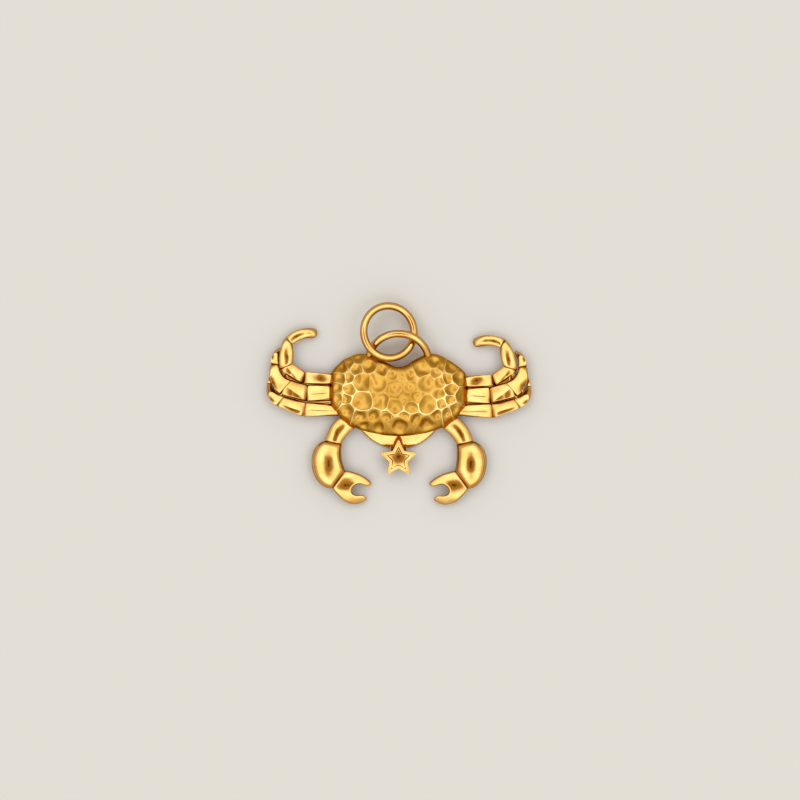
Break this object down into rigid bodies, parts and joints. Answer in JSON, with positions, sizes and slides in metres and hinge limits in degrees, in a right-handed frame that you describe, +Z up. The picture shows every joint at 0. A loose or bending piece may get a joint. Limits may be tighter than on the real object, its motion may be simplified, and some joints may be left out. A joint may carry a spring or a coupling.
{
  "type": "crab pendant",
  "caption": "Gold crab pendant with a domed, dimpled shell, curled jointed legs, open claws, a crescent edge with a hanging star, and a loose jump ring through a fixed wire bail.",
  "frame": {"origin": "on the flat back of the belly plate, midway between the two flanks of the shell", "axes": "+X to the side that is on the right in the picture, +Y from the claws to the bail, +Z up from the back to the shell"},
  "size_m": [0.0303, 0.0232, 0.0035],
  "materials": {
    "polished_gold": "polished gold plating",
    "satin_gold": "satin gold plating"
  },
  "bodies": {
    "pendant": {"bail": "polished_gold", "belly_plate": "polished_gold", "carapace": "satin_gold", "claw_left_arm": "polished_gold", "claw_left_palm": "polished_gold", "claw_left_pincer": "polished_gold", "claw_right_arm": "polished_gold", "claw_right_palm": "polished_gold", "claw_right_pincer": "polished_gold", "leg_left_front_base": "polished_gold", "leg_left_front_shin": "polished_gold", "leg_left_front_thigh": "polished_gold", "leg_left_front_tip": "polished_gold", "leg_left_middle_base": "polished_gold", "leg_left_middle_shin": "polished_gold", "leg_left_middle_thigh": "polished_gold", "leg_left_middle_tip": "polished_gold", "leg_left_rear_base": "polished_gold", "leg_left_rear_shin": "polished_gold", "leg_left_rear_thigh": "polished_gold", "leg_left_rear_tip": "polished_gold", "leg_right_front_base": "polished_gold", "leg_right_front_shin": "polished_gold", "leg_right_front_thigh": "polished_gold", "leg_right_front_tip": "polished_gold", "leg_right_middle_base": "polished_gold", "leg_right_middle_shin": "polished_gold", "leg_right_middle_thigh": "polished_gold", "leg_right_middle_tip": "polished_gold", "leg_right_rear_base": "polished_gold", "leg_right_rear_shin": "polished_gold", "leg_right_rear_thigh": "polished_gold", "leg_right_rear_tip": "polished_gold", "star": "polished_gold", "star_neck": "polished_gold"},
    "ring": {"jump_ring": "polished_gold"}
  },
  "joints": [
    {"name": "ring_swing", "type": "hinge", "parent": "pendant", "child": "ring", "pos_m": [0.00183, 0.00642, 0.0025], "axis": [-0.8459, 0.4833, 0.2254], "range_deg": [0, 85]}
  ]
}
